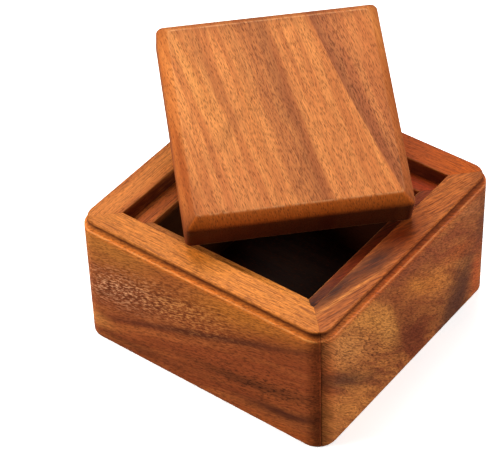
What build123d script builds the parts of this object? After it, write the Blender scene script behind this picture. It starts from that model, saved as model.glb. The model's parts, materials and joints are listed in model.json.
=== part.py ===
"""A square wooden spice box and its loose, bevelled lid, in millimetres.

The box is four mitred walls round a flush bottom panel. Each wall is one thick
board with a rounded outer corner at both ends, a cove cut along its outer top
edge, and a rebate along its inner top edge that makes the seat for the lid.
A hidden loose spline crosses each glued mitre. The lid is a single square board
with a bevelled top. It lies skewed across the open box: its lowest edge rests
on the front and right rims, and its far side is raised.

The origin is the centre of the underside. The front wall faces -Y and +Z is up.
"""

import os
from math import cos, radians, sin, sqrt

from build123d import *

# Box
BOX_WIDTH = 127.0
BOX_HEIGHT = 65.0
CORNER_RADIUS = 9.0
RIM_WIDTH = 14.5
LEDGE_WIDTH = 8.7
REBATE_DEPTH = 7.3

# Moulding along the outer top edge: a short upright step, then a cove
COVE_INSET = 1.6
COVE_STEP = 1.1
COVE_DROP = 3.8

# Eased arrises
RIM_EASE = 0.5
STEP_EASE = 0.3
FOOT_EASE = 0.6
MITRE_EASE = 0.2

# Bottom panel, let into the lower inner edge of the walls
PANEL_THICKNESS = 6.0
PANEL_TONGUE = 6.0
PANEL_CLEARANCE = 0.2

# Hidden loose splines, one across each mitre
SPLINE_THICKNESS = 3.0
SPLINE_WIDTH = 14.0
SPLINE_LENGTH = 38.0
SPLINE_BASE = 12.0

# Lid
LID_CLEARANCE = 1.3
LID_THICKNESS = 19.7
LID_BEVEL_WIDTH = 4.6
LID_BEVEL_HEIGHT = 3.7
LID_EASE = 0.6

# Where the lid rests: the lowest edge runs across the front right corner
LID_YAW = 45.4
LID_TILT = 24.0
LID_REACH = 25.77
LID_SHIFT = 1.41
LID_REST_GAP = 0.15

opening_width = BOX_WIDTH - 2 * RIM_WIDTH
cavity_width = opening_width - 2 * LEDGE_WIDTH
ledge_height = BOX_HEIGHT - REBATE_DEPTH
panel_seat_width = cavity_width + 2 * PANEL_TONGUE
panel_width = panel_seat_width - 2 * PANEL_CLEARANCE
lid_width = opening_width - 2 * LID_CLEARANCE
half_width = BOX_WIDTH / 2

# Halfway through the mitre, from the cavity's corner to the rounded outside
inner_diagonal = cavity_width / sqrt(2)
outer_diagonal = BOX_WIDTH / sqrt(2) - CORNER_RADIUS * (sqrt(2) - 1)
spline_reach = (inner_diagonal + outer_diagonal) / 2


def corner_plane(turn: float) -> Plane:
    """The level plane of the splines' lower ends, with X towards one corner of the box."""
    return Plane.XY.offset(SPLINE_BASE).rotated((0, 0, turn))


os.makedirs("parts", exist_ok=True)

# Front wall, as the pattern for all four
with BuildPart() as wall_pattern:
    with BuildSketch(Plane.XY):
        RectangleRounded(BOX_WIDTH, BOX_WIDTH, CORNER_RADIUS)
    extrude(amount=BOX_HEIGHT)

    # The cove follows the outer top edge round both rounded corners
    with BuildLine(Plane.XY.offset(BOX_HEIGHT)) as moulding_path:
        FilletPolyline(
            (-half_width, 0),
            (-half_width, -half_width),
            (half_width, -half_width),
            (half_width, 0),
            radius=CORNER_RADIUS,
        )
    cove_plane = Plane(origin=(-half_width, 0, BOX_HEIGHT), x_dir=(-1, 0, 0), z_dir=(0, -1, 0))
    with BuildSketch(cove_plane) as cove:
        with BuildLine():
            Line((-COVE_INSET, -1), (-COVE_INSET, COVE_STEP))
            TangentArc((-COVE_INSET, COVE_STEP), (0, COVE_DROP), tangent=(0, 1))
            Polyline((0, COVE_DROP), (1, COVE_DROP), (1, -1), (-COVE_INSET, -1))
        make_face()
    sweep(sections=cove.sketch, path=moulding_path.wires()[0], mode=Mode.SUBTRACT)

    # Lid seat, cavity and the seat of the bottom panel
    with BuildSketch(Plane.XY.offset(ledge_height)):
        Rectangle(opening_width, opening_width)
    extrude(amount=REBATE_DEPTH, mode=Mode.SUBTRACT)
    with BuildSketch(Plane.XY):
        Rectangle(cavity_width, cavity_width)
    extrude(amount=ledge_height, mode=Mode.SUBTRACT)
    with BuildSketch(Plane.XY):
        Rectangle(panel_seat_width, panel_seat_width)
    extrude(amount=PANEL_THICKNESS, mode=Mode.SUBTRACT)

    # Keep the wedge between the two mitres
    with BuildSketch(Plane.XY):
        Polygon((0, 0), (-BOX_WIDTH, -BOX_WIDTH), (BOX_WIDTH, -BOX_WIDTH), align=None)
    extrude(amount=BOX_HEIGHT, mode=Mode.INTERSECT)

    # Grooves for the splines
    for turn in (-135, -45):
        with BuildSketch(corner_plane(turn)):
            with Locations((spline_reach, 0)):
                Rectangle(SPLINE_THICKNESS, SPLINE_WIDTH)
        extrude(amount=SPLINE_LENGTH, mode=Mode.SUBTRACT)

    # Eased arrises: inside the rim and the ledge, above the cove, and round the foot
    rim_face = wall_pattern.faces().filter_by(Axis.Z).sort_by(Axis.Z)[-1]
    fillet(rim_face.edges().filter_by(Axis.X).sort_by(Axis.Y)[-1], RIM_EASE)
    ledge_face = wall_pattern.faces().filter_by(Axis.Z).filter_by_position(
        Axis.Z, ledge_height - 0.1, ledge_height + 0.1
    )[0]
    fillet(ledge_face.edges().filter_by(Axis.X).sort_by(Axis.Y)[-1], RIM_EASE)
    rim_face = wall_pattern.faces().filter_by(Axis.Z).sort_by(Axis.Z)[-1]
    step_edges = rim_face.edges().filter_by(GeomType.CIRCLE)
    step_edges.append(rim_face.edges().filter_by(Axis.X).sort_by(Axis.Y)[0])
    fillet(step_edges, STEP_EASE)
    foot_face = wall_pattern.faces().filter_by(Axis.Z).sort_by(Axis.Z)[0]
    foot_edges = foot_face.edges().filter_by(GeomType.CIRCLE)
    foot_edges.append(foot_face.edges().filter_by(Axis.X).sort_by(Axis.Y)[0])
    chamfer(foot_edges, FOOT_EASE)

    # The two outer upright edges of the mitres
    upright_edges = wall_pattern.edges().filter_by(Axis.Z)
    chamfer(upright_edges.sort_by_distance((0, 0, BOX_HEIGHT / 2))[-2:], MITRE_EASE)

for name, turn in (("front_wall", 0), ("right_wall", 90), ("back_wall", 180), ("left_wall", 270)):
    with BuildPart() as wall:
        with Locations(Location((0, 0, 0), (0, 0, turn))):
            add(wall_pattern.part)
    wall.part.label = name
    export_step(wall.part, f"parts/{name}.step")

# Splines across the mitres
for name, turn in (
    ("front_right_spline", -45),
    ("back_right_spline", 45),
    ("back_left_spline", 135),
    ("front_left_spline", -135),
):
    with BuildPart() as spline:
        with BuildSketch(corner_plane(turn)):
            with Locations((spline_reach, 0)):
                Rectangle(SPLINE_THICKNESS, SPLINE_WIDTH)
        extrude(amount=SPLINE_LENGTH)
    spline.part.label = name
    export_step(spline.part, f"parts/{name}.step")

# Bottom panel
with BuildPart() as bottom_panel:
    with BuildSketch(Plane.XY):
        Rectangle(panel_width, panel_width)
    extrude(amount=PANEL_THICKNESS)
bottom_panel.part.label = "bottom_panel"
export_step(bottom_panel.part, "parts/bottom_panel.step")

# Lid, drawn on its own tilted plane: X runs along the lowest edge, Y up the slope
yaw = radians(LID_YAW)
tilt = radians(LID_TILT)
lid_plane = Plane(
    origin=(
        (LID_SHIFT + LID_REACH) / sqrt(2),
        (LID_SHIFT - LID_REACH) / sqrt(2),
        BOX_HEIGHT + LID_REST_GAP,
    ),
    x_dir=(cos(yaw), sin(yaw), 0),
    z_dir=(sin(yaw) * sin(tilt), -cos(yaw) * sin(tilt), cos(tilt)),
)
lid_axis = Axis(lid_plane.origin, lid_plane.z_dir)

with BuildPart() as lid:
    with BuildSketch(lid_plane):
        Rectangle(lid_width, lid_width, align=(Align.CENTER, Align.MIN))
    extrude(amount=LID_THICKNESS)
    top = lid.faces().sort_by(lid_axis)[-1]
    chamfer(top.edges(), length=LID_BEVEL_WIDTH, length2=LID_BEVEL_HEIGHT, reference=top)
    fillet(lid.edges(), LID_EASE)
lid.part.label = "lid"
export_step(lid.part, "parts/lid.step")
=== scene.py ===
"""Looks of the mitred wooden spice box and its loose, bevelled lid.

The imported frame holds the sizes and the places. Every visible board is rebuilt here
with eased, slightly worn arrises, and gets its own timber: open-pored hardwood with
dark heartwood streaks, placed board by board.
"""

import json
import logging
import math
from collections.abc import Callable, Iterable, Mapping
from dataclasses import dataclass, field, replace
from enum import Enum

import bpy
from mathutils import Matrix, Vector, noise

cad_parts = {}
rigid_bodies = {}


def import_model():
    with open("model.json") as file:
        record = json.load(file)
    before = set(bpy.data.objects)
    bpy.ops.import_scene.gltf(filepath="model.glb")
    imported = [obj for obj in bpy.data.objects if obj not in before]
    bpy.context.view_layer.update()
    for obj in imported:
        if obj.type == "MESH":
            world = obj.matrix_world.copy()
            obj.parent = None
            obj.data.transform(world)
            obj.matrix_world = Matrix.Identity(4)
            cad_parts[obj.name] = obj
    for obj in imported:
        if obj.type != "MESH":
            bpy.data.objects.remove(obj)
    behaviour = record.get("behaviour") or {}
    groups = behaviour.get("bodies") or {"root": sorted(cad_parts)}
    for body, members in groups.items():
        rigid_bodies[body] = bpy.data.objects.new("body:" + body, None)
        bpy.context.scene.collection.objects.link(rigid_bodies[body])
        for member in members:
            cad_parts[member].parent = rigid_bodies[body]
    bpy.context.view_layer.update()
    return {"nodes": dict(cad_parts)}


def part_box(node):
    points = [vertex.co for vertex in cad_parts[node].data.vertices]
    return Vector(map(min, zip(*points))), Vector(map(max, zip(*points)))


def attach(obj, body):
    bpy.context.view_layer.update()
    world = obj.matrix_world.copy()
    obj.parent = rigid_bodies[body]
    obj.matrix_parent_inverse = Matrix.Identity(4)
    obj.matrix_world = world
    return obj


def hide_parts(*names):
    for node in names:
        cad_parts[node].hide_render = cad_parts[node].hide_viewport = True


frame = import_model()

LOG = logging.getLogger("spice_box")
MM = 0.001

Colour = tuple[float, float, float]
Point = tuple[float, float]
Socket = bpy.types.NodeSocket
Tree = bpy.types.NodeTree


class Attribute(Enum):
    """Names of what each board's mesh carries for its timber."""

    BOARD = "board"
    ARRIS = "arris"
    # where shade is painted into hollows: the rebate's side, the cove and the lid's side bevels
    NOOK = "nook"
    END_GRAIN = "end_grain"
    # painted shade in the cavity, darker further down
    INNER = "inner"


class Turn(Enum):
    """Quarter turns that put the front wall's shape in each wall's place."""

    FRONT = 0
    RIGHT = 90
    BACK = 180
    LEFT = 270


def srgb(red: int, green: int, blue: int) -> Colour:
    """Turns a screen colour into the linear colour that a shader wants.

    Args:
        red: Red, 0 to 255.
        green: Green, 0 to 255.
        blue: Blue, 0 to 255.

    Returns:
        The linear colour.
    """

    def linear(value: int) -> float:
        """One channel, from screen to linear."""
        share = value / 255
        return share / 12.92 if share <= 0.04045 else ((share + 0.055) / 1.055) ** 2.4

    return linear(red), linear(green), linear(blue)


# ---------------------------------------------------------------- node helpers


@dataclass
class Graph:
    """A shader node tree with short ways to add and join its nodes."""

    tree: Tree

    def node(self, kind: str, **settings: object) -> bpy.types.Node:
        """Adds a node.

        Args:
            kind: The node's type name, without the leading ShaderNode.
            settings: Properties to set on it.

        Returns:
            The new node.
        """
        made = self.tree.nodes.new("ShaderNode" + kind)
        for name, value in settings.items():
            setattr(made, name, value)
        return made

    def feed(self, socket: Socket, value: object) -> None:
        """Joins an output to an input, or sets the input's value.

        Args:
            socket: The input.
            value: An output socket, a number, or a colour or vector.
        """
        if isinstance(value, Socket):
            self.tree.links.new(value, socket)
        elif isinstance(value, tuple) and len(value) == 3 and len(socket.default_value) == 4:
            socket.default_value = (*value, 1.0)
        else:
            socket.default_value = value

    def math(self, operation: str, *values: object) -> Socket:
        """One step of arithmetic.

        Args:
            operation: The Math node's operation.
            values: Its inputs, in order.

        Returns:
            The result's socket.
        """
        made = self.node("Math", operation=operation)
        for socket, value in zip(made.inputs, values):
            self.feed(socket, value)
        return made.outputs[0]

    def plus(self, first: object, second: object) -> Socket:
        """One value plus another."""
        return self.math("ADD", first, second)

    def minus(self, first: object, second: object) -> Socket:
        """One value minus another."""
        return self.math("SUBTRACT", first, second)

    def times(self, first: object, second: object) -> Socket:
        """One value times another."""
        return self.math("MULTIPLY", first, second)

    def over(self, first: object, second: object) -> Socket:
        """One value divided by another."""
        return self.math("DIVIDE", first, second)

    def times_plus(self, first: object, second: object, third: object) -> Socket:
        """One value times another, plus a third."""
        return self.math("MULTIPLY_ADD", first, second, third)

    def mix(self, share: object, first: object, second: object, blend: str = "MIX") -> Socket:
        """Mixes two colours.

        Args:
            share: How much of the second colour shows.
            first: The colour below.
            second: The colour on top.
            blend: The blend type.

        Returns:
            The mixed colour's socket.
        """
        made = self.node("Mix", data_type="RGBA", blend_type=blend)
        self.feed(made.inputs[0], share)
        self.feed(made.inputs[6], first)
        self.feed(made.inputs[7], second)
        return made.outputs[2]

    def tint(self, colour: object, mask: object, strength: object, tone: Colour) -> Socket:
        """Lays a tone over a colour.

        Args:
            colour: The colour below.
            mask: Where the tone shows.
            strength: How much of it shows there.
            tone: The tone.

        Returns:
            The mixed colour's socket.
        """
        return self.mix(self.times(mask, strength), colour, tone)

    def ramp(
        self, value: object, low: object, high: object, to_low: float = 0.0, to_high: float = 1.0
    ) -> Socket:
        """Maps a range smoothly onto another.

        Args:
            value: What to map.
            low: The input that gives to_low.
            high: The input that gives to_high.
            to_low: The output at low.
            to_high: The output at high.

        Returns:
            The mapped value's socket.
        """
        made = self.node("MapRange", interpolation_type="SMOOTHSTEP")
        for socket, given in zip(made.inputs, (value, low, high, to_low, to_high)):
            self.feed(socket, given)
        return made.outputs[0]

    def split(self, vector: object) -> tuple[Socket, ...]:
        """The X, Y and Z of a vector.

        Args:
            vector: The vector's socket.

        Returns:
            Its three sockets.
        """
        made = self.node("SeparateXYZ")
        self.feed(made.inputs[0], vector)
        return tuple(made.outputs)

    def join(self, x: object, y: object, z: object) -> Socket:
        """A vector of three values.

        Args:
            x: Its X.
            y: Its Y.
            z: Its Z.

        Returns:
            The vector's socket.
        """
        made = self.node("CombineXYZ")
        for socket, value in zip(made.inputs, (x, y, z)):
            self.feed(socket, value)
        return made.outputs[0]

    def noise(self, vector: object, scale: float, detail: float, rough: float = 0.5) -> Socket:
        """Smooth noise from 0 to 1.

        Args:
            vector: Where it is read.
            scale: Its scale.
            detail: How many finer layers it has.
            rough: How strong those are.

        Returns:
            The noise's socket.
        """
        made = self.node("TexNoise")
        self.feed(made.inputs["Vector"], vector)
        made.inputs["Scale"].default_value = scale
        made.inputs["Detail"].default_value = detail
        made.inputs["Roughness"].default_value = rough
        return made.outputs[0]

    def carried(self, attribute: Attribute, vector: bool = False) -> Socket:
        """What the mesh carries under a name.

        Args:
            attribute: Which one.
            vector: True for a vector, False for a number.

        Returns:
            The attribute's socket.
        """
        made = self.node("Attribute", attribute_type="GEOMETRY", attribute_name=attribute.value)
        return made.outputs["Vector" if vector else "Fac"]

    def group(self, tree: Tree, source: object = None, **values: object) -> Mapping[str, Socket]:
        """Places a node group. Names here have _ for a space.

        Args:
            tree: The group.
            source: Sets each input that has the name of one of its fields.
            values: Other inputs, by name.

        Returns:
            The group's outputs, by name.
        """
        made = self.node("Group", node_tree=tree)
        for socket in made.inputs:
            name = socket.name.lower().replace(" ", "_")
            if name in values:
                self.feed(socket, values[name])
            elif hasattr(source, name):
                self.feed(socket, getattr(source, name))
        return made.outputs


def new_group(
    name: str, inputs: dict[str, float | None], outputs: Iterable[str]
) -> tuple[Graph, dict[str, Socket], dict[str, Socket]]:
    """Starts a node group.

    Args:
        name: The group's name.
        inputs: Input names with their defaults, or None for a vector.
        outputs: Names of the values that it puts out.

    Returns:
        The group's graph, its inputs by name and its outputs by name.
    """
    tree = bpy.data.node_groups.new(name, "ShaderNodeTree")
    for title, default in inputs.items():
        kind = "NodeSocketVector" if default is None else "NodeSocketFloat"
        socket = tree.interface.new_socket(title, in_out="INPUT", socket_type=kind)
        if default is not None:
            socket.default_value = default
    for title in outputs:
        tree.interface.new_socket(title, in_out="OUTPUT", socket_type="NodeSocketFloat")
    entry = tree.nodes.new("NodeGroupInput")
    leave = tree.nodes.new("NodeGroupOutput")
    return Graph(tree), dict(entry.outputs.items()), dict(leave.inputs.items())


class Effects:
    """The effects that the timbers share, each a node group."""

    def __init__(self) -> None:
        """Builds the groups."""
        self.fibre = self._fibre()
        self.streak = self._streak()
        self.wear = self._wear()
        self.seam = self._seam()

    @staticmethod
    def _fibre() -> Tree:
        """Fibre, broad bands, mottle, fine lines and short pores that run along a board.

        Returns:
            The group. Board is in millimetres, with X along the grain. The grain slopes on
            the outer face only: above Top, and deep in the board, it runs straight.
        """
        graph, given, out = new_group(
            "wood_fibre",
            {
                "Board": None,
                "Slope": 0.0,
                "Bend": 0.0,
                "Depth Slope": 0.0,
                "Top": 1000.0,
                "Depth Scale": 1.0,
                "Wave": 1.5,
                "Wave Length": 40.0,
                "Mottle Length": 2.4,
                "Mottle Width": 0.8,
                "Pore Length": 2.6,
                "Pore Width": 0.7,
                "Pore Share": 0.7,
                "Pore Size": 0.4,
                "Seed": 0.0,
            },
            ("Fibre", "Bands", "Mottle", "Pores", "Lines"),
        )
        along, up, deep = graph.split(given["Board"])
        seed = graph.times(given["Seed"], 17.3)
        drift = 0.045
        face_depth = 3.5
        slow = graph.join(
            graph.over(along, given["Wave Length"]),
            graph.plus(graph.times(up, drift), seed),
            graph.times(deep, drift),
        )
        wander = graph.times(graph.minus(graph.noise(slow, 1.0, 1.5), 0.5), given["Wave"])
        rise = graph.times(along, graph.times_plus(along, given["Bend"], given["Slope"]))
        buried = graph.times(graph.math("MAXIMUM", graph.minus(deep, face_depth), 0.0), 20.0)
        face = graph.math("LESS_THAN", graph.plus(buried, up), given["Top"])
        up_bent = graph.minus(graph.minus(up, graph.times(rise, face)), wander)
        sink = graph.times_plus(along, given["Depth Slope"], graph.times(wander, 0.6))
        deep_bent = graph.times(graph.minus(deep, sink), given["Depth Scale"])

        def stretched(length: object, width: object, shift: float) -> Socket:
            """The bent board stretched along its grain.

            Args:
                length: How long one unit is along the grain.
                width: How wide it is across.
                shift: Moves it, so that layers differ.

            Returns:
                The vector's socket.
            """
            return graph.join(
                graph.plus(graph.over(along, length), shift),
                graph.plus(graph.over(up_bent, width), seed),
                graph.over(deep_bent, width),
            )

        fibres = stretched(length=11.0, width=0.55, shift=3.1)
        bands = stretched(length=60.0, width=4.5, shift=9.7)
        mottle = stretched(given["Mottle Length"], given["Mottle Width"], shift=5.3)
        lines = stretched(length=18.0, width=0.36, shift=1.9)
        graph.feed(out["Fibre"], graph.noise(fibres, 1.0, 3.0, 0.6))
        graph.feed(out["Bands"], graph.noise(bands, 1.0, 4.0, 0.6))
        graph.feed(out["Mottle"], graph.noise(mottle, 1.0, 2.0, 0.6))
        threads = graph.ramp(graph.noise(lines, 1.0, 1.0), 0.47, 0.34)
        graph.feed(out["Lines"], graph.times(threads, graph.minus(1.0, face)))
        cells = graph.node("TexVoronoi", feature="F1", distance="EUCLIDEAN")
        graph.feed(cells.inputs["Vector"], stretched(given["Pore Length"], given["Pore Width"], 0.0))
        cells.inputs["Scale"].default_value = 1.0
        chance = graph.split(cells.outputs["Color"])[0]
        present = graph.math("LESS_THAN", chance, given["Pore Share"])
        core = graph.times(given["Pore Size"], 0.45)
        inside = graph.ramp(cells.outputs["Distance"], given["Pore Size"], core)
        graph.feed(out["Pores"], graph.times(inside, present))
        return graph.tree

    @staticmethod
    def _streak() -> Tree:
        """One soft, ragged streak or patch along a board.

        Returns:
            The group. Sharpness over 1 hardens the side towards low height.
        """
        graph, given, out = new_group(
            "heart_streak",
            {
                "Board": None,
                "Along": 0.0,
                "Height": 0.0,
                "Depth": 0.0,
                "Slope": 0.0,
                "Bend": 0.0,
                "Depth Slope": 0.0,
                "Reach": 100.0,
                "Spread": 4.0,
                "Sink": 30.0,
                "Ragged": 0.3,
                "Sharpness": 1.0,
                "Seed": 0.0,
            },
            ("Mask",),
        )
        along, up, deep = graph.split(given["Board"])
        run = graph.minus(along, given["Along"])
        line = graph.times_plus(run, given["Slope"], given["Height"])
        line = graph.times_plus(graph.times(run, run), given["Bend"], line)
        deep_line = graph.times_plus(run, given["Depth Slope"], given["Depth"])
        above = graph.minus(up, line)
        fray = 0.35
        frayed = graph.join(
            graph.times(along, 0.07),
            graph.times_plus(given["Seed"], 11.7, graph.times(above, fray)),
            graph.times(deep, fray),
        )
        tear = graph.times(graph.minus(graph.noise(frayed, 1.0, 3.0, 0.6), 0.5), given["Ragged"])
        off = graph.times_plus(tear, 4.0, graph.over(above, given["Spread"]))
        below = graph.times(graph.math("MINIMUM", off, 0.0), given["Sharpness"])
        off = graph.plus(graph.math("MAXIMUM", off, 0.0), below)
        deep_off = graph.over(graph.minus(deep, deep_line), given["Sink"])
        far = graph.over(run, given["Reach"])
        square = graph.times_plus(off, off, graph.times_plus(deep_off, deep_off, graph.times(far, far)))
        graph.feed(out["Mask"], graph.math("EXPONENT", graph.times(square, -1.0)))
        return graph.tree

    @staticmethod
    def _wear() -> Tree:
        """Broken pale wear and painted highlight on arrises, and painted shade in hollows.

        Returns:
            The group.
        """
        graph, given, out = new_group("edge_wear", {"Board": None, "Seed": 0.0}, ("Worn", "Grime"))
        along, up, deep = graph.split(given["Board"])
        place = graph.join(graph.times(along, 0.25), graph.plus(up, given["Seed"]), deep)
        broken = graph.ramp(graph.noise(place, 0.6, 3.0, 0.65), 0.3, 0.62)
        patchy = graph.ramp(graph.noise(place, 0.35, 3.0, 0.6), 0.2, 0.6, 0.55, 1.0)
        graph.feed(out["Worn"], graph.times(graph.carried(Attribute.ARRIS), broken))
        graph.feed(out["Grime"], graph.times(graph.carried(Attribute.NOOK), patchy))
        return graph.tree

    @staticmethod
    def _seam() -> Tree:
        """The dark glue line where two walls meet, darkest near the outer face.

        Returns:
            The group. Box Half is half the box's outside width.
        """
        inputs = {"Board": None, "Box Half": 63.5, "Line Width": 0.3}
        graph, given, out = new_group("glue_line", inputs, ("Mask",))
        along, _, deep = graph.split(given["Board"])
        gap = graph.minus(graph.minus(given["Box Half"], deep), graph.math("ABSOLUTE", along))
        line = graph.ramp(gap, given["Line Width"], 0.0)
        graph.feed(out["Mask"], graph.times(line, graph.ramp(deep, 7.0, 3.0, 0.2, 1.0)))
        return graph.tree


# ---------------------------------------------------------------- timbers


@dataclass(frozen=True)
class Streak:
    """A streak or patch of another tone in a board, in the board's millimetres.

    Along, height and depth are its middle. It fades over its reach along the board,
    its spread up and down, and its sink into the board.
    """

    colour: Colour
    strength: float
    along: float = 0.0
    height: float = 0.0
    depth: float = 0.0
    slope: float = 0.0
    bend: float = 0.0
    depth_slope: float = 0.0
    reach: float = 100.0
    spread: float = 4.0
    sink: float = 30.0
    ragged: float = 0.3
    sharpness: float = 1.0


def on_top(colour: Colour, strength: float, ragged: float = 0.02, **place: float) -> Streak:
    """A streak that stays on a wall's top face.

    Args:
        colour: Its colour.
        strength: How strong it is, 0 to 1.
        ragged: How ragged its edge is.
        place: Its other fields.

    Returns:
        The streak.
    """
    return Streak(colour, strength, height=65, spread=6, ragged=ragged, sharpness=4, **place)


@dataclass(frozen=True)
class Timber:
    """One board's wood: its ground colours, pores, streaks and finish.

    Flecks and specks are streaks that show only on the pale and the dark dashes of the
    mottle. Bevel Low and High are the heights between which cut ends turn to the bevel's
    colour, and only the lid reaches them.
    """

    name: str
    pale: Colour
    warm: Colour
    streaks: tuple[Streak, ...] = ()
    flecks: tuple[Streak, ...] = ()
    specks: tuple[Streak, ...] = ()
    slope: float = 0.0
    bend: float = 0.0
    depth_slope: float = 0.0
    top: float = 63.9
    depth_scale: float = 1.0
    wave: float = 3.0
    wave_length: float = 40.0
    fibre: float = 0.16
    mottle: float = 0.08
    mottle_length: float = 2.4
    mottle_width: float = 0.8
    lines: float = 0.0
    line_colour: Colour = srgb(112, 50, 18)
    pore_length: float = 2.6
    pore_width: float = 0.7
    pore_share: float = 0.75
    pore_size: float = 0.42
    pore_strength: float = 0.4
    pore_colour: Colour = srgb(92, 44, 24)
    end_colour: Colour = srgb(112, 44, 16)
    bevel_colour: Colour = srgb(196, 84, 22)
    bevel_low: float = 1000.0
    bevel_high: float = 1001.0
    # pale wear on arrises, with painted highlight
    worn_colour: Colour = srgb(240, 160, 82)
    worn_strength: float = 0.55
    # painted shade in the hollows
    grime_colour: Colour = srgb(76, 22, 2)
    grime_strength: float = 0.95
    # painted shade in the cavity, darker further down
    inner_colour: Colour = srgb(46, 22, 12)
    inner_strength: float = 0.9
    seamed: bool = True
    seam_colour: Colour = srgb(40, 16, 8)
    seam_strength: float = 0.8
    roughness: float = 0.48
    specular: float = 0.12
    relief_depth: float = 0.08
    relief_strength: float = 0.35
    seed: float = 0.0

    def build(self, effects: Effects) -> bpy.types.Material:
        """Makes the material.

        Args:
            effects: The shared node groups.

        Returns:
            The finished material.
        """
        material = bpy.data.materials.new(self.name)
        material.use_nodes = True
        graph = Graph(material.node_tree)
        board = graph.carried(Attribute.BOARD, vector=True)
        wood = graph.group(effects.fibre, self, board=board)
        colour = self._figure(graph, effects, board, wood)
        shader = graph.tree.nodes["Principled BSDF"]
        graph.feed(shader.inputs["Base Color"], self._aged(graph, effects, board, colour))
        sheen = graph.ramp(wood["Fibre"], 0.2, 0.8, self.roughness - 0.06, self.roughness + 0.08)
        rough = graph.times_plus(wood["Pores"], 0.25, sheen)
        dull = graph.ramp(graph.carried(Attribute.NOOK), 0.0, 0.12, 0.0, 0.45)
        graph.feed(shader.inputs["Roughness"], graph.plus(rough, dull))
        bump = graph.node("Bump")
        bump.inputs["Strength"].default_value = self.relief_strength
        bump.inputs["Distance"].default_value = self.relief_depth * MM
        relief = graph.times_plus(wood["Pores"], -1.0, graph.times(wood["Fibre"], 0.35))
        graph.feed(bump.inputs["Height"], relief)
        graph.feed(shader.inputs["Normal"], bump.outputs["Normal"])
        shader.inputs["Specular IOR Level"].default_value = self.specular
        return material

    def _figure(self, graph: Graph, effects: Effects, board: Socket, wood: Mapping[str, Socket]) -> Socket:
        """The colour of the bare wood.

        Args:
            graph: The material's graph.
            effects: The shared node groups.
            board: The board's place socket.
            wood: The fibre group's outputs.

        Returns:
            The colour's socket.
        """
        colour = graph.mix(graph.ramp(wood["Bands"], 0.38, 0.62), self.pale, self.warm)
        layers = (
            (self.streaks, 0, None),
            (self.flecks, 20, (0.5, 0.62)),
            (self.specks, 30, (0.48, 0.36)),
        )
        for streaks, first, dashes in layers:
            for number, streak in enumerate(streaks, first):
                mask = graph.group(effects.streak, streak, board=board, seed=self.seed + number)["Mask"]
                strength = streak.strength
                if dashes:
                    strength = graph.times(graph.ramp(wood["Mottle"], *dashes), strength)
                colour = graph.tint(colour, mask, strength, streak.colour)
        if self.lines:
            colour = graph.tint(colour, wood["Lines"], self.lines, self.line_colour)
        level = graph.ramp(graph.split(board)[2], self.bevel_low, self.bevel_high)
        cut = graph.mix(level, self.end_colour, self.bevel_colour)
        end = graph.ramp(graph.carried(Attribute.END_GRAIN), 0.0, 0.7, 0.0, 0.88)
        colour = graph.mix(end, colour, cut)
        fibre = graph.ramp(wood["Fibre"], 0.3, 0.7, 1.0 - self.fibre, 1.0 + self.fibre * 0.75)
        mottle = graph.ramp(wood["Mottle"], 0.35, 0.65, 1.0 - self.mottle, 1.0 + self.mottle)
        tone = graph.times(fibre, mottle)
        colour = graph.mix(1.0, colour, graph.join(tone, tone, tone), "MULTIPLY")
        return graph.tint(colour, wood["Pores"], self.pore_strength, self.pore_colour)

    def _aged(self, graph: Graph, effects: Effects, board: Socket, colour: Socket) -> Socket:
        """The colour with pale wear and painted highlight, painted shade in the hollows and the cavity, and
        the glue line.

        Args:
            graph: The material's graph.
            effects: The shared node groups.
            board: The board's place socket.
            colour: The colour of the bare wood.

        Returns:
            The finished colour's socket.
        """
        wear = graph.group(effects.wear, self, board=board)
        # pale wear and painted highlight on the arrises
        colour = graph.tint(colour, wear["Worn"], self.worn_strength, self.worn_colour)
        # painted shade in the hollows
        colour = graph.tint(colour, wear["Grime"], self.grime_strength, self.grime_colour)
        # painted shade in the cavity
        inner = graph.carried(Attribute.INNER)
        colour = graph.tint(colour, inner, self.inner_strength, self.inner_colour)
        if self.seamed:
            seam = graph.group(effects.seam, board=board)["Mask"]
            colour = graph.tint(colour, seam, self.seam_strength, self.seam_colour)
        return colour


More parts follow.
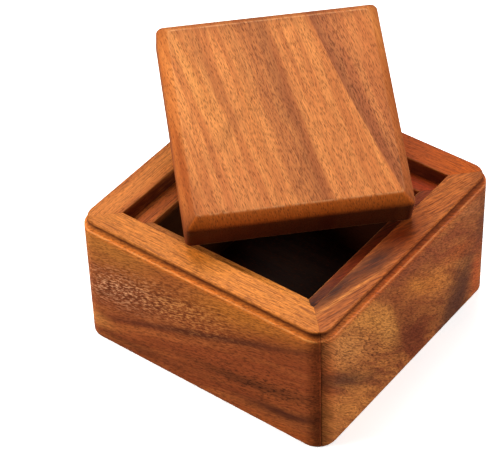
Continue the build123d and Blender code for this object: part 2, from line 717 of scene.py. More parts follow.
LID_TIMBER = Timber(
    "lid_timber",
    pale=srgb(228, 144, 76),
    warm=srgb(198, 114, 58),
    slope=0.2,
    top=1000.0,
    depth_scale=0.35,
    wave_length=45.0,
    mottle_length=2.6,
    mottle_width=0.5,
    pore_length=2.9,
    pore_width=0.55,
    pore_share=0.8,
    pore_strength=0.6,
    fibre=0.13,
    mottle=0.1,
    seamed=False,
    seed=2.0,
    # the cut end: end grain, darker than the face; its upright side, which looks down, is darkened further as
    # painted shade, and its bevel stays orange
    bevel_colour=srgb(196, 94, 24),
    bevel_low=13.4,
    bevel_high=16.6,
    end_colour=srgb(74, 26, 10),
    # painted shade on the side bevels
    grime_colour=srgb(150, 76, 24),
    # pale wear and painted highlight on the flat's edges
    worn_colour=srgb(236, 178, 122),
    worn_strength=0.4,
    streaks=(
        # pinker towards the near edge, a painted reflection of the sky; and browner beside the heart
        Streak(srgb(188, 108, 62), 0.7, along=40, height=-25, reach=26, spread=20, ragged=0.4),
        Streak(srgb(196, 112, 62), 0.55, along=40, height=22, reach=30, spread=12, ragged=0.4),
        Streak(srgb(186, 110, 58), 0.5, height=18, slope=0.2, spread=11, ragged=0.3),
        Streak(srgb(168, 100, 56), 0.75, height=-3.5, slope=0.175, spread=8, ragged=0.35),
        # the dark heart line
        Streak(srgb(126, 60, 34), 0.9, height=2.8, slope=0.175, spread=3.6, ragged=0.2),
        # the coarse dark band right of its sharp edge
        Streak(
            srgb(166, 92, 58), 0.88,
            height=29.2, slope=0.3, bend=0.0006, spread=16, ragged=0.02, sharpness=30,
        ),
        Streak(
            srgb(112, 54, 32), 0.75,
            height=29.2, slope=0.3, bend=0.0006, spread=5, ragged=0.05, sharpness=12,
        ),
        # the pointed figure on the left
        Streak(srgb(160, 94, 50), 0.65, along=-20, height=-28, slope=0.33, reach=24, spread=3.4, ragged=0.5),
        Streak(srgb(154, 90, 48), 0.6, along=6, height=-24, slope=-0.8, reach=14, spread=4, ragged=0.5),
        Streak(srgb(168, 96, 50), 0.5, along=-30, height=-16, slope=0.2, reach=20, spread=3, ragged=0.5),
        Streak(srgb(222, 148, 74), 0.6, along=-16, height=-34, slope=0.33, reach=26, spread=4, ragged=0.4),
        Streak(srgb(222, 142, 72), 0.55, height=-14, slope=0.1, reach=26, spread=4, ragged=0.4),
        # browner bevels at the sides and the far end
        Streak(srgb(112, 50, 14), 0.92, height=47.2, spread=3.4, ragged=0.12),
        Streak(srgb(184, 98, 38), 0.85, height=-46.8, spread=2.8, ragged=0.15),
        Streak(srgb(104, 46, 20), 0.9, along=-47, reach=5.5, spread=90, ragged=0.1),
        # a left edge and near-left corner that grow darker and redder towards the underside: painted shade
        Streak(srgb(84, 24, 8), 0.95, along=48, height=-47, reach=10, spread=4.5, ragged=0.2),
        Streak(
            srgb(62, 20, 12), 0.92,
            along=46, height=-47.7, depth=1, reach=14, spread=7, sink=11, ragged=0.1,
        ),
        Streak(srgb(120, 52, 18), 0.75, height=-47.7, depth=3, reach=60, spread=3, sink=9, ragged=0.1),
        Streak(srgb(126, 46, 16), 0.9, along=22, height=-45, slope=0.03, reach=26, spread=1.8, ragged=0.4),
    ),
    specks=(
        Streak(srgb(76, 36, 22), 1.0, height=32, slope=0.3, bend=0.0006, spread=9, ragged=0.04, sharpness=5),
        Streak(srgb(104, 58, 38), 0.65, height=-2, slope=0.175, spread=7, ragged=0.3),
        Streak(srgb(142, 76, 40), 0.36, spread=80),
    ),
)

FRONT_TIMBER = Timber(
    "front_timber",
    pale=srgb(180, 98, 48),
    warm=srgb(150, 72, 36),
    slope=0.26,
    wave=4.0,
    fibre=0.2,
    mottle=0.12,
    seed=4.0,
    streaks=(
        # golden sapwood along the top
        Streak(srgb(194, 118, 50), 0.9, along=-42, height=58, slope=0.1, reach=46, spread=12),
        Streak(srgb(208, 122, 44), 0.85, along=24, height=57, slope=0.2, reach=36, spread=9),
        Streak(srgb(170, 88, 42), 0.7, along=-14, height=54, slope=0.2, reach=14, spread=10, ragged=0.5),
        # brown ground under the flecks, and red-brown heartwood below
        Streak(srgb(146, 78, 46), 0.85, along=-38, height=34, slope=0.25, reach=34, spread=11),
        Streak(srgb(154, 73, 37), 0.85, along=28, height=26, slope=0.26, reach=70, spread=17),
        # an orange line below the upper streak
        Streak(srgb(192, 104, 52), 0.7, along=-26, height=18.5, slope=0.33, reach=26, spread=2.2),
        # three dark streaks that rise to the right
        Streak(srgb(88, 42, 28), 0.85, along=4, height=34.5, slope=0.37, reach=62, spread=2.1, ragged=0.4),
        Streak(
            srgb(84, 44, 24), 0.72,
            along=28, height=20, slope=0.2, bend=0.002, reach=34, spread=2.8, ragged=0.5,
        ),
        Streak(
            srgb(74, 34, 24), 0.88,
            along=46, height=12.5, slope=0.22, bend=0.004, reach=28, spread=3, ragged=0.4,
        ),
        Streak(srgb(104, 52, 28), 0.65, along=-34, height=5.5, slope=0.1, reach=28, spread=3.2, ragged=0.5),
        Streak(srgb(214, 134, 66), 0.8, along=-57, height=11, reach=8, spread=4),
        Streak(srgb(178, 84, 34), 0.6, along=50, height=3, slope=0.05, reach=26, spread=2.6),
        # the near corner stays orange
        Streak(srgb(220, 102, 52), 0.75, along=62, height=42, reach=4, spread=26),
        # the orange cove, and the pale top face and ledge
        Streak(srgb(232, 120, 40), 0.85, height=61.6, spread=1.7, sink=3, ragged=0.02),
        on_top(srgb(212, 128, 52), 0.9, depth=10, sink=12, ragged=0.05),
        Streak(
            srgb(236, 146, 58), 0.85,
            along=22, height=58, depth=20, reach=50, spread=5, sink=5, ragged=0.1,
        ),
        # an orange spot on the top face beside the lid's foot: painted bounce light from the lid
        Streak(srgb(232, 128, 40), 0.8, along=-8, height=65, depth=12, reach=7, spread=5, sink=5, ragged=0.1),
    ),
    flecks=(
        Streak(srgb(232, 166, 120), 0.85, along=-42, height=36, slope=0.2, reach=20, spread=9),
        Streak(srgb(222, 146, 78), 0.7, along=-8, height=42, slope=0.15, reach=24, spread=9),
    ),
    lines=0.65,
    specks=(
        Streak(srgb(104, 50, 28), 0.8, along=-40, height=36, slope=0.2, reach=24, spread=10),
        Streak(srgb(120, 58, 28), 0.6, along=-6, height=42, slope=0.15, reach=26, spread=9),
        Streak(srgb(46, 24, 14), 0.9, along=34, height=22, slope=0.2, bend=0.002, reach=24, spread=6),
        Streak(srgb(104, 50, 26), 0.45, height=30, spread=80, sink=4),
    ),
)

RIGHT_TIMBER = Timber(
    "right_timber",
    pale=srgb(200, 122, 62),
    warm=srgb(154, 84, 46),
    slope=-0.72,
    bend=0.003,
    depth_slope=-0.3,
    wave=6.0,
    fibre=0.26,
    mottle=0.14,
    mottle_length=4.2,
    pore_length=4.0,
    worn_strength=0.3,
    seed=6.0,
    streaks=(
        # orange beside the near corner: painted highlight where the rounded corner catches the light
        Streak(srgb(236, 132, 62), 0.75, along=-64, height=24, reach=4, spread=44),
        Streak(srgb(206, 100, 50), 0.8, along=-61, height=48, slope=-0.8, reach=7, spread=26),
        # the slanted dark smudge, with gold on both of its sides
        Streak(srgb(214, 140, 76), 0.7, along=-46, height=47, slope=-0.7, reach=16, spread=10),
        Streak(srgb(216, 140, 68), 0.85, along=-24, height=46, slope=-0.8, reach=26, spread=8),
        Streak(srgb(208, 130, 64), 0.75, along=-46, height=12, slope=-0.55, reach=18, spread=7),
        Streak(srgb(98, 60, 40), 0.85, along=-46, height=29, slope=-0.72, reach=21, spread=5, ragged=0.4),
        Streak(srgb(218, 146, 74), 0.75, along=-15, height=30, slope=-0.8, reach=9, spread=8),
        # redder wood that starts at a steep boundary and curls down to the right
        Streak(
            srgb(138, 68, 38), 0.7,
            along=-6, height=28, slope=-3.2, reach=30, spread=110, ragged=0.04, sharpness=10,
        ),
        Streak(srgb(108, 48, 30), 0.9, along=4, height=15, slope=-0.35, reach=17, spread=12, ragged=0.6),
        Streak(srgb(206, 122, 54), 0.75, along=14, height=37, slope=-0.55, reach=18, spread=5.5, ragged=0.5),
        Streak(srgb(212, 130, 58), 0.6, along=4, height=44, slope=-0.9, reach=7, spread=4, ragged=0.5),
        Streak(srgb(142, 76, 48), 0.6, along=4, height=56, slope=-0.2, reach=28, spread=4, ragged=0.5),
        Streak(srgb(180, 78, 34), 0.7, along=40, height=36, slope=-0.3, reach=12, spread=5, ragged=0.5),
        Streak(srgb(146, 72, 44), 0.65, along=30, height=50, slope=-0.25, reach=34, spread=10, ragged=0.4),
        Streak(srgb(188, 116, 70), 0.5, along=44, height=56, slope=-0.5, reach=14, spread=5, ragged=0.5),
        # the dark, steep streak at the far end
        Streak(srgb(84, 50, 40), 0.92, along=40, height=10, slope=0.9, reach=15, spread=23, ragged=0.5),
        Streak(srgb(90, 54, 40), 0.8, along=31, height=4, slope=1.0, reach=9, spread=12, ragged=0.6),
        Streak(srgb(98, 60, 46), 0.75, along=58, height=38, reach=6, spread=26),
        Streak(srgb(196, 92, 48), 0.75, along=53, height=12, reach=4, spread=14),
        # the orange cove
        Streak(srgb(206, 94, 32), 0.85, height=61.6, spread=1.7, sink=3, ragged=0.02),
        Streak(srgb(92, 36, 12), 0.8, along=32, height=62.6, reach=36, spread=1.7, sink=3, ragged=0.05),
        # the top face: red, then a dark band with a pale line outside it. The deep red and the dark band lie
        # where the lid's shadow falls: heartwood, with painted shadow
        on_top(srgb(186, 98, 36), 0.92, depth=10, sink=14),
        on_top(srgb(150, 78, 34), 0.85, along=-44, depth=5, reach=20, sink=5),
        on_top(srgb(128, 40, 10), 0.9, along=6, depth=10, reach=13, sink=8),
        on_top(srgb(48, 20, 10), 0.97, along=-36, depth=12.8, depth_slope=-0.12, reach=19, sink=3.6),
        on_top(srgb(54, 22, 10), 0.94, along=-13, depth=9.2, depth_slope=-0.05, reach=15, sink=5),
        on_top(srgb(214, 132, 62), 0.75, along=-38, depth=8.2, depth_slope=-0.19, reach=19, sink=0.9),
        # the ledge: dark beside the near corner, heartwood with painted shade under the lid, then red
        Streak(srgb(150, 50, 14), 0.92, height=57.7, depth=19, reach=90, spread=3, sink=7, ragged=0.05),
        Streak(
            srgb(46, 20, 12), 0.97,
            along=-46, height=57.7, depth=19, reach=24, spread=3, sink=7, ragged=0.05,
        ),
    ),
    lines=0.8,
    specks=(
        Streak(srgb(88, 44, 26), 0.6, along=-34, height=34, slope=-0.7, reach=30, spread=16),
        Streak(srgb(96, 44, 26), 0.36, height=30, spread=80),
    ),
)

BACK_TIMBER = Timber(
    "back_timber",
    # a deep red ground: the wood's red, darkened as painted shade where the lid hangs over this wall
    pale=srgb(166, 73, 26),
    warm=srgb(142, 56, 18),
    slope=0.1,
    seed=8.0,
    streaks=(
        Streak(srgb(96, 52, 36), 0.7, along=-10, height=30, slope=0.12, reach=70, spread=3, ragged=0.4),
        Streak(srgb(176, 88, 38), 0.6, along=20, height=46, slope=0.1, reach=60, spread=9, ragged=0.4),
        on_top(srgb(196, 92, 22), 0.9, along=-56, depth=8, reach=24, sink=14),
        Streak(srgb(190, 62, 12), 0.85, height=58, depth=20, reach=90, spread=5, sink=5, ragged=0.1),
    ),
    lines=0.65,
    specks=(Streak(srgb(84, 38, 18), 0.5, height=30, spread=80, sink=4),),
)

LEFT_TIMBER = Timber(
    "left_timber",
    pale=srgb(205, 122, 55),
    warm=srgb(182, 101, 42),
    slope=-0.12,
    seed=10.0,
    streaks=(
        Streak(srgb(102, 58, 40), 0.65, along=15, height=22, slope=-0.15, reach=60, spread=3.4, ragged=0.4),
        Streak(srgb(146, 74, 40), 0.6, along=-20, height=12, slope=-0.1, reach=60, spread=9, ragged=0.4),
        Streak(srgb(204, 98, 36), 0.92, height=58, depth=20, reach=90, spread=5, sink=5, ragged=0.1),
    ),
    lines=0.65,
    specks=(Streak(srgb(122, 62, 28), 0.5, height=40, spread=80, sink=4),),
)

# the bottom panel is near-black: painted shade in the cavity under the lid
PANEL_SHADE_TIMBER = Timber(
    "panel_timber",
    pale=srgb(50, 26, 14),
    warm=srgb(38, 18, 10),
    roughness=0.7,
    seamed=False,
    seed=12.0,
)

SPLINE_TIMBER = Timber(
    "spline_timber",
    pale=srgb(190, 136, 84),
    warm=srgb(170, 112, 66),
    roughness=0.7,
    seamed=False,
    seed=14.0,
)


# ---------------------------------------------------------------- meshes


@dataclass(frozen=True)
class Rim:
    """One place on an outline, in millimetres, with how sharp it is there and how much painted shade it
    takes.
    """

    x: float
    y: float
    arris: float = 0.0
    # how much painted shade a hollow takes here
    nook: float = 0.0
    # how much painted shade the cavity takes here
    inner: float = 0.0
    side_arris: float | None = None


def eased(corners: Iterable[tuple[float, float, float]], run: float = 3.0, steps: int = 4) -> list[Rim]:
    """Rounds the corners of a closed outline and divides its long runs.

    Args:
        corners: X, Y and radius of each corner, going round with the solid on the left.
        run: The longest run between two places.
        steps: How many pieces each round corner has.

    Returns:
        The places, in order. A corner with no radius stays as one place.
    """
    points = [(Vector((x, y)), radius) for x, y, radius in corners]
    places: list[Rim] = []
    for index, (corner, radius) in enumerate(points):
        before = points[index - 1][0]
        after = points[(index + 1) % len(points)][0]
        into = (corner - before).normalized()
        out = (after - corner).normalized()
        turn = into.x * out.y - into.y * out.x
        if radius:
            setback = radius * math.tan(into.angle(out) / 2)
            start, end = corner - into * setback, corner + out * setback
            bend = [_arc(start, corner, end, step / steps) for step in range(steps + 1)]
            sharp = [math.sin(math.pi * (step + 0.5) / (steps + 1)) for step in range(steps + 1)]
        else:
            bend, sharp = [corner], [0.0]
        if places:
            last = Vector((places[-1].x, places[-1].y))
            places += _between(last, bend[0], run)
        convex = turn > 0
        places += [Rim(p.x, p.y, s if convex else 0.0, 0.0 if convex else s) for p, s in zip(bend, sharp)]
    places += _between(Vector((places[-1].x, places[-1].y)), Vector((places[0].x, places[0].y)), run)
    return places


def _arc(start: Vector, corner: Vector, end: Vector, share: float) -> Vector:
    """A place on the round corner between two runs.

    Args:
        start: Where the corner starts.
        corner: The sharp corner itself.
        end: Where it ends.
        share: How far round, 0 to 1.

    Returns:
        The place, on a curve that touches both runs.
    """
    weight = 1 / math.sqrt(2)
    a, b, c = (1 - share) ** 2, 2 * weight * share * (1 - share), share**2
    return (start * a + corner * b + end * c) / (a + b + c)


def _between(start: Vector, end: Vector, run: float) -> list[Rim]:
    """Places that divide a run, close beside its ends and evenly between.

    Args:
        start: The run's start.
        end: Its end.
        run: The longest step.

    Returns:
        The places, without the ends.
    """
    length = (end - start).length
    near, close = 0.3, 0.7
    if length < 3 * close:
        return []
    inner = length - 2 * close
    count = max(1, math.ceil(inner / run))
    steps = [near] + [close + inner * step / count for step in range(count + 1)] + [length - near]
    return [Rim(*start.lerp(end, step / length)) for step in steps]


def rows_of_faces(rows: int, size: int, flipped: bool = False) -> list[tuple[int, ...]]:
    """Faces that join closed rows of points one to the next, and close both ends.

    Args:
        rows: How many rows there are.
        size: How many points each row has.
        flipped: True where the faces would otherwise look inward.

    Returns:
        The faces.
    """
    faces = []
    for row in range(rows - 1):
        near, far = row * size, (row + 1) * size
        for index in range(size):
            after = (index + 1) % size
            quad = (near + index, far + index, far + after, near + after)
            faces.append((quad[0], quad[3], quad[2], quad[1]) if flipped else quad)
    first = tuple(range(size))
    last = tuple((rows - 1) * size + index for index in range(size))
    faces += [first[::-1], last] if flipped else [first, last[::-1]]
    return faces


def quarter_round(ease: float, arris: float, angles: Iterable[float]) -> list[Rim]:
    """The rounded arris from a slab's underside up to its side.

    Args:
        ease: Its radius.
        arris: How sharp it feels, for wear and painted highlight.
        angles: Where its places stand, from 0 at the underside to a quarter turn.

    Returns:
        The places, from the underside up.
    """
    return [Rim(ease * (1 - math.sin(angle)), ease * (1 - math.cos(angle)), arris) for angle in angles]


def finish_mesh(
    name: str,
    places: list[Vector],
    faces: list[tuple[int, ...]],
    board: list[Vector],
    values: dict[Attribute, list[float]],
) -> bpy.types.Object:
    """Makes a smooth mesh object from millimetres.

    Args:
        name: The piece's name.
        places: Its points, in millimetres.
        faces: Its faces.
        board: Each point's place in its board, in millimetres.
        values: The numbers that each point carries.

    Returns:
        The new object, linked to the scene.
    """
    mesh = bpy.data.meshes.new(name)
    mesh.from_pydata([place * MM for place in places], [], faces)
    mesh.validate()
    layer = mesh.attributes.new(Attribute.BOARD.value, "FLOAT_VECTOR", "POINT")
    layer.data.foreach_set("vector", [part for place in board for part in place])
    for attribute, numbers in values.items():
        layer = mesh.attributes.new(attribute.value, "FLOAT", "POINT")
        layer.data.foreach_set("value", numbers)
    mesh.shade_smooth()
    piece = bpy.data.objects.new(name, mesh)
    bpy.context.scene.collection.objects.link(piece)
    return piece


def dress(piece: bpy.types.Object, body: str, node: str, material: bpy.types.Material) -> None:
    """Gives a piece its timber and its place in the frame.

    Args:
        piece: The visible piece.
        body: The CAD body that it moves with.
        node: The CAD node that it stands for.
        material: Its material.
    """
    piece.data.materials.append(material)
    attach(piece, body)
    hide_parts(node)
    LOG.info("%s: %d faces, %s", piece.name, len(piece.data.polygons), material.name)


@dataclass
class Walls:
    """The four mitred walls of the box. Sizes are in millimetres."""

    effects: Effects
    corner_radius: float = 9.0
    rim_width: float = 14.5
    ledge_width: float = 8.7
    rebate_depth: float = 7.3
    cove_inset: float = 1.6
    cove_step: float = 1.1
    cove_drop: float = 3.8
    panel_thickness: float = 6.0
    panel_tongue: float = 6.0
    seam_depth: float = 0.16
    mitre_run: float = 3.0
    timbers: dict[Turn, Timber] = field(
        default_factory=lambda: {
            Turn.FRONT: FRONT_TIMBER,
            Turn.RIGHT: RIGHT_TIMBER,
            Turn.BACK: BACK_TIMBER,
            Turn.LEFT: LEFT_TIMBER,
        }
    )

    def __post_init__(self) -> None:
        """Takes the box's width and height from the frame."""
        low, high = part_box("front_wall")
        self.half_width = -low.y / MM
        self.height = high.z / MM

    def outline(self) -> list[Rim]:
        """The section of a wall: X is the depth from its outer face, Y the height.

        Returns:
            The section's places, all round.
        """
        top, ledge = self.height, self.height - self.rebate_depth
        inner = self.rim_width + self.ledge_width
        seat = inner - self.panel_tongue
        places = eased(
            [
                (0.0, 0.0, 0.6),
                (seat, 0.0, 0.2),
                (seat, self.panel_thickness, 0.0),
                (inner, self.panel_thickness, 0.2),
                (inner, ledge, 0.5),
                (self.rim_width, ledge, 0.35),
                (self.rim_width, top, 0.5),
                (self.cove_inset, top, 0.35),
                *self.cove(),
            ]
        )
        return [self._tone(place, ledge, inner) for place in places]

    def _tone(self, place: Rim, ledge: float, inner: float) -> Rim:
        """Paints shade into the hollows of the section and into the cavity, and marks the arrises for pale
        wear and painted highlight.

        Args:
            place: A place on the section.
            ledge: The height of the ledge.
            inner: The depth of the cavity's face.

        Returns:
            The same place with its tones.
        """
        arris = self.height - self.cove_drop
        # the cavity: painted shade, darker further down
        if place.x > inner - 0.3 and place.y < ledge - 0.4:
            return replace(place, inner=min(1.0, (ledge - place.y) / 4))
        # the rebate's upright side: painted shade, darker further down
        if abs(place.x - self.rim_width) < 0.2 and place.y < self.height - 0.3:
            return replace(place, nook=min(1.0, (self.height - place.y) / 2))
        # the outer arrises, below the cove and round the foot: pale wear and painted highlight
        if place.x < 0.5 and min(abs(place.y - arris), place.y) < 0.5:
            return replace(place, arris=0.9)
        # the top edge above the step: light painted shade
        if place.x < self.cove_inset + 0.6 and place.y > self.height - 0.5:
            return replace(place, arris=0.0, nook=0.35)
        # the rim's inner edge
        if abs(place.x - self.rim_width) < 0.6:
            return replace(place, arris=place.arris * 0.35)
        # the cove and the step: painted shade, darkest at the top
        rise = (place.y - arris) / (self.cove_drop - self.cove_step)
        if place.x < self.cove_inset + 0.1 and 0.0 < rise < 1.25:
            return replace(place, nook=min(1.0, 0.12 + 1.15 * max(rise - 0.2, 0.0)))
        return place

    def cove(self) -> list[tuple[float, float, float]]:
        """The hollow below the step, down to the arris of the outer face.

        Returns:
            X, Y and radius of its corners.
        """
        drop = self.cove_drop - self.cove_step
        radius = (self.cove_inset**2 + drop**2) / (2 * self.cove_inset)
        last = math.asin(drop / radius)
        steps = 8
        start = self.height - self.cove_step
        bends = [
            (
                self.cove_inset - radius * (1 - math.cos(last * step / steps)),
                start - radius * math.sin(last * step / steps),
                0.0,
            )
            for step in range(steps)
        ]
        return [*bends, (0.0, self.height - self.cove_drop, 0.18)]

    def columns(self) -> list[float]:
        """Where the sections stand along a wall.

        Returns:
            Shares from -2 to 2: up to 1 either way is the straight run, then the round corner.
        """
        straight = [step / 30 for step in range(-30, 31)]
        bend = [1 + step / 9 for step in range(1, 9)] + [1.975, 2.0]
        return [-share for share in reversed(bend)] + straight + bend

    def place(self, share: float, depth: float) -> Point:
        """A level place in a wall.

        Args:
            share: Where along the wall, as in columns.
            depth: How deep from the outer face.

        Returns:
            X along the wall and Y outward to inward, in the front wall's place.
        """
        side = math.copysign(1.0, share)
        bend = max(abs(share) - 1, 0.0)
        spread = self.mitre_run * min(max(depth / self.corner_radius - 1, 0.0), 1.0)
        straight = self.half_width - max(depth, self.corner_radius) - spread
        if not bend:
            return share * straight, depth - self.half_width
        if depth >= self.corner_radius:
            return side * (straight + bend * spread), depth - self.half_width
        radius, angle = self.corner_radius - depth, bend * math.pi / 4
        centre = self.half_width - self.corner_radius
        return side * (centre + radius * math.sin(angle)), -centre - radius * math.cos(angle)

    def build(self, turn: Turn) -> bpy.types.Object:
        """Makes one wall.

        Args:
            turn: Which wall.

        Returns:
            The wall's object.
        """
        outline, columns = self.outline(), self.columns()
        ends = (0, len(columns) - 1)
        spin = Matrix.Rotation(math.radians(turn.value), 3, "Z")
        places, board = [], []
        arris, nook, inner = [], [], []
        for number, share in enumerate(columns):
            for index, rim in enumerate(outline):
                ahead, behind = outline[(index + 1) % len(outline)], outline[index - 1]
                outward = Vector((ahead.y - behind.y, behind.x - ahead.x)).normalized()
                back = self._wear(share, rim, turn) + (self._seam(rim) if number in ends else 0.0)
                depth, height = rim.x - outward.x * back, rim.y - outward.y * back
                x, y = self.place(share, depth)
                places.append(spin @ Vector((x, y, height)))
                board.append(Vector((x, height, y + self.half_width)))
                arris.append(rim.arris)
                nook.append(rim.nook)
                inner.append(rim.inner)
        faces = rows_of_faces(len(columns), len(outline))
        values = {Attribute.ARRIS: arris, Attribute.NOOK: nook, Attribute.INNER: inner}
        return finish_mesh(f"{turn.name.lower()}_wall_board", places, faces, board, values)

    def _seam(self, rim: Rim) -> float:
        """How far the wall's end is eased back at the mitre: most on the outer face."""
        outside = rim.x < 3 and rim.y < self.height - self.cove_drop
        return self.seam_depth if outside else self.seam_depth * 0.3

    def _wear(self, share: float, rim: Rim, turn: Turn) -> float:
        """How far a place is worn back, in millimetres.

        Args:
            share: Where along the wall.
            rim: The place on the outline.
            turn: Which wall, so that all four differ.

        Returns:
            The wear.
        """
        spot = Vector((share * 9, rim.y * 0.2 + turn.value, rim.x * 0.2))
        broad = 0.5 + 0.5 * noise.noise(spot * 0.5)
        fine = 0.5 + 0.5 * noise.noise(spot * 2.3)
        return 0.03 * broad + 0.12 * rim.arris * fine

    def dress(self) -> None:
        """Builds all four walls and gives each its timber."""
        for turn, timber in self.timbers.items():
            node = f"{turn.name.lower()}_wall"
            dress(self.build(turn), "box", node, timber.build(self.effects))


@dataclass
class Slab:
    """A square board made of rounded rings, in its own millimetres.

    The board's X is along its grain, Y across and Z up through its thickness. Far End is
    how much of the cut end's colour shows at its far end.
    """

    half: float
    outline: list[Rim]
    corner: float
    sides: int = 26
    bends: int = 5
    far_end: float = 1.0
    least_corner: float = 0.5
    corner_shrink: float = 0.12

    def ring(self, inset: float) -> list[Point]:
        """One ring round the board.

        Args:
            inset: How far in from its sides.

        Returns:
            The ring's places.
        """
        half = self.half - inset
        radius = min(max(self.corner - inset * self.corner_shrink, self.least_corner), half)
        run = half - radius
        ring: list[Point] = []
        for quarter in range(4):
            spin = Matrix.Rotation(quarter * math.pi / 2, 2)
            for step in range(self.sides):
                ring.append(tuple(spin @ Vector((half, -run + 2 * run * step / self.sides))))
            for step in range(self.bends):
                angle = math.pi / 2 * step / self.bends
                level = Vector((run, run)) + radius * Vector((math.cos(angle), math.sin(angle)))
                ring.append(tuple(spin @ level))
        return ring

    def build(self, name: str, pose: Matrix, wear: Callable[[Vector, Rim], float]) -> bpy.types.Object:
        """Makes the board.

        Args:
            name: The piece's name.
            pose: From the board's millimetres to the frame's.
            wear: How far a place is worn back, from its place and outline.

        Returns:
            The board's object.
        """
        places, board = [], []
        arris, nook, end = [], [], []
        for index, rim in enumerate(self.outline):
            ahead = self.outline[min(index + 1, len(self.outline) - 1)]
            behind = self.outline[max(index - 1, 0)]
            outward = Vector((behind.y - ahead.y, ahead.x - behind.x)).normalized()
            for x, y in self.ring(rim.x):
                spot = Vector((x, y, rim.y))
                back = wear(spot, rim)
                level = Vector((x, y)).normalized()
                spot += Vector((level.x * outward.x, level.y * outward.x, -outward.y)) * back
                places.append(pose @ spot)
                board.append(spot)
                facing = abs(x) > abs(y)
                arris.append(rim.arris if facing or rim.side_arris is None else rim.side_arris)
                nook.append(0.0 if facing else rim.nook)
                end.append(abs(outward.x) * (1.0 if x > 0 else self.far_end) if facing else 0.0)
        faces = rows_of_faces(len(self.outline), 4 * (self.sides + self.bends), flipped=True)
        values = {Attribute.ARRIS: arris, Attribute.NOOK: nook, Attribute.END_GRAIN: end}
        return finish_mesh(name, places, faces, board, values)


@dataclass
class Lid:
    """The loose lid: one bevelled board, lying askew. Sizes are in millimetres.

    Its lowest edge crosses the box's near corner: reach and shift place the middle of that
    edge along and across the box's diagonal, and rest is its height.
    """

    effects: Effects
    width: float = 95.4
    thickness: float = 19.68
    bevel_width: float = 4.6
    bevel_height: float = 6.6
    bevel_bend: float = 3.8
    corner: float = 2.6
    yaw: float = 45.4
    tilt: float = 24.0
    reach: float = 25.77
    shift: float = 1.41
    rest: float = 65.15

    def pose(self) -> Matrix:
        """From the lid's own millimetres to the frame's.

        Returns:
            The lid's pose. Its grain runs up the slope.
        """
        yaw, tilt = math.radians(self.yaw), math.radians(self.tilt)
        root = math.sqrt(2)
        edge = Vector(((self.shift + self.reach) / root, (self.shift - self.reach) / root, self.rest))
        turn = Matrix.Rotation(yaw, 4, "Z") @ Matrix.Rotation(tilt, 4, "X")
        centre = Matrix.Translation(Vector((0, self.width / 2, 0)))
        grain = Matrix.Rotation(-math.pi / 2, 4, "Z")
        return Matrix.Translation(edge) @ turn @ centre @ grain

    def outline(self) -> list[Rim]:
        """The lid's section: X is the inset from its side, Y the height.

        Returns:
            The places from the middle of the underside to the middle of the top.
        """
        top, side = self.thickness, self.thickness - self.bevel_height
        under = [Rim(inset, 0.0) for inset in (46.0, 34.0, 22.0, 10.0, 4.0, 1.2)]
        foot = quarter_round(0.7, 0.8, (0.0, 0.4, 0.8, 1.2, math.pi / 2))
        upright = [Rim(0.0, 1.2 + (side - 1.6) * step / 6) for step in range(7)]
        bevel = [self._bevel(side, step / 12) for step in range(13)]
        flat = [Rim(self.bevel_width + inset, top) for inset in (0.45, 1.2, 4.0, 10.0, 20.0, 30.0, 40.0)]
        return under + foot + upright + bevel + flat

    def _bevel(self, side: float, share: float) -> Rim:
        """A place on the rounded bevel.

        Args:
            side: The height where the upright side ends.
            share: How far up the bevel, 0 to 1.

        Returns:
            The place.
        """
        start, bend = Vector((0.0, side)), Vector((0.0, side + self.bevel_bend))
        end = Vector((self.bevel_width, self.thickness))
        spot = start * (1 - share) ** 2 + bend * 2 * share * (1 - share) + end * share**2
        # the crisp arris at the flat's edge: pale wear and painted highlight
        if share > 0.98:
            return Rim(spot.x, spot.y, 1.0, side_arris=0.25)
        # the rest of the bevel, on the lid's sides, takes light painted shade
        return Rim(spot.x, spot.y, 0.0, nook=0.25)

    def wear(self, spot: Vector, rim: Rim) -> float:
        """How far a place on the lid is worn back.

        Args:
            spot: The place, in the lid's millimetres.
            rim: Its place on the outline.

        Returns:
            The wear, in millimetres.
        """
        broad = 0.5 + 0.5 * noise.noise(spot * 0.05)
        fine = 0.5 + 0.5 * noise.noise(spot * 0.35)
        return 0.04 * broad + 0.1 * rim.arris * fine

    def dress(self) -> None:
        """Builds the lid and gives it its timber."""
        slab = Slab(self.width / 2, self.outline(), self.corner, far_end=0.15)
        piece = slab.build("lid_board", self.pose(), self.wear)
        dress(piece, "lid", "lid", LID_TIMBER.build(self.effects))


@dataclass
class Inside:
    """The bottom panel, and the splines that are sealed in the mitres."""

    effects: Effects
    corners: tuple[str, ...] = ("front_right", "back_right", "back_left", "front_left")
    worn: float = 0.02

    def dress(self) -> None:
        """Builds the panel and finishes the splines where they lie."""
        low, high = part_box("bottom_panel")
        half, thickness = high.x / MM, (high.z - low.z) / MM
        ease, angles, insets = 0.3, (0.0, 0.5, 1.0, math.pi / 2), (0.8, 4.0, 15.0, 30.0, 44.0)
        under = [Rim(inset, 0.0) for inset in reversed(insets)] + quarter_round(ease, 0.5, angles)
        side = [Rim(0.0, thickness * step / 4) for step in range(1, 4)]
        upper = [Rim(ease * (1 - math.cos(a)), thickness - ease * (1 - math.sin(a)), 0.5) for a in angles]
        top = [Rim(inset, thickness) for inset in insets]
        slab = Slab(half, under + side + upper + top, corner=0.6)
        piece = slab.build("bottom_panel_board", Matrix.Identity(4), lambda spot, rim: self.worn)
        dress(piece, "box", "bottom_panel", PANEL_SHADE_TIMBER.build(self.effects))
        material = SPLINE_TIMBER.build(self.effects)
        for corner in self.corners:
            node = frame["nodes"][f"{corner}_spline"]
            for slot in node.material_slots:
                slot.material = material
            LOG.info("%s_spline: %s", corner, material.name)


# ---------------------------------------------------------------- studio


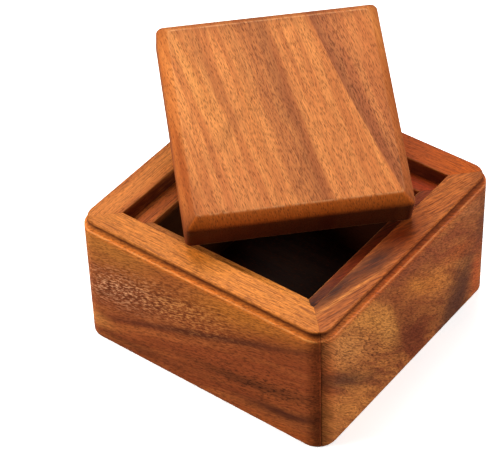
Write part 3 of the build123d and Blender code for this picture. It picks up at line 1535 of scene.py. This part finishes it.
@dataclass
class Studio:
    """The pale floor, the soft lights and the camera."""

    lens: float = 160.3
    distance: float = 1.00044
    elevation: float = 41.95
    azimuth: float = 38.213
    roll: float = -2.084
    target: Point = (-0.04757, 0.03065)
    lamp_size: float = 0.8
    daylight: Colour = (1.0, 0.98, 0.96)
    air: float = 0.12

    def camera(self) -> None:
        """Places the camera and makes it the scene's."""
        lift, turn = math.radians(self.elevation), math.radians(self.azimuth)
        back = Vector((math.sin(turn) * math.cos(lift), -math.cos(turn) * math.cos(lift), math.sin(lift)))
        right = (-back).cross(Vector((0, 0, 1))).normalized()
        up = right.cross(-back)
        roll = math.radians(self.roll)
        level = math.cos(roll) * right + math.sin(roll) * up
        upright = -math.sin(roll) * right + math.cos(roll) * up
        data = bpy.data.cameras.new("camera")
        data.lens = self.lens
        data.sensor_width = 36.0
        data.clip_start = 0.01
        camera = bpy.data.objects.new("camera", data)
        turned = Matrix((level, upright, back)).transposed().to_4x4()
        camera.matrix_world = Matrix.Translation(Vector((*self.target, 0.0)) + back * self.distance) @ turned
        bpy.context.scene.collection.objects.link(camera)
        bpy.context.scene.camera = camera

    def floor(self) -> None:
        """Lays a plain pale floor."""
        mesh = bpy.data.meshes.new("floor")
        reach = 6.0
        corners = [(-reach, -reach, 0), (reach, -reach, 0), (reach, reach, 0), (-reach, reach, 0)]
        mesh.from_pydata(corners, [], [(0, 1, 2, 3)])
        floor = bpy.data.objects.new("floor", mesh)
        bpy.context.scene.collection.objects.link(floor)
        material = bpy.data.materials.new("floor_paper")
        material.use_nodes = True
        graph = Graph(material.node_tree)
        shader = graph.tree.nodes["Principled BSDF"]
        shader.inputs["Roughness"].default_value = 0.9
        seen = graph.node("LightPath").outputs["Is Camera Ray"]
        graph.feed(shader.inputs["Base Color"], graph.mix(seen, (0.05, 0.05, 0.05), (0.98, 0.98, 0.98)))
        shader.inputs["Emission Color"].default_value = (1.0, 1.0, 1.0, 1.0)
        graph.feed(shader.inputs["Emission Strength"], graph.times(seen, 0.5))
        mesh.materials.append(material)

    def light(self, name: str, place: tuple[float, float, float], power: float) -> None:
        """Hangs one soft light that faces the box.

        Args:
            name: Its name.
            place: Where it hangs, in metres.
            power: Its power, in watts.
        """
        data = bpy.data.lights.new(name, "AREA")
        data.shape = "SQUARE"
        data.size = self.lamp_size
        data.energy = power
        data.color = self.daylight
        lamp = bpy.data.objects.new(name, data)
        lamp.location = place
        aim = Vector((0, 0, 0.05)) - Vector(place)
        lamp.rotation_euler = aim.to_track_quat("-Z", "Y").to_euler()
        bpy.context.scene.collection.objects.link(lamp)

    def build(self) -> None:
        """Sets up the whole studio."""
        self.camera()
        self.floor()
        self.light("top_light", (-0.45, 0.4, 1.35), power=17.0)
        self.light("left_light", (-0.95, -0.75, 0.5), power=22.0)
        self.light("right_light", (0.95, 0.75, 0.4), power=17.0)
        world = bpy.data.worlds.new("studio_air")
        bpy.context.scene.world = world
        world.use_nodes = True
        background = world.node_tree.nodes["Background"]
        background.inputs["Color"].default_value = (1.0, 1.0, 1.0, 1.0)
        background.inputs["Strength"].default_value = self.air
        bpy.context.scene.view_settings.view_transform = "Standard"


def clear_defaults() -> None:
    """Removes what a new file holds besides the frame."""
    for item in list(bpy.data.objects):
        if item.type in {"LIGHT", "CAMERA"} or item.name == "Cube":
            bpy.data.objects.remove(item)


def main() -> None:
    """Builds the box, its lid and the studio, in order."""
    logging.basicConfig(level=logging.INFO, format="%(name)s: %(message)s")
    clear_defaults()
    effects = Effects()
    Studio().build()
    Walls(effects).dress()
    Lid(effects).dress()
    Inside(effects).dress()


if __name__ == "__main__":
    main()
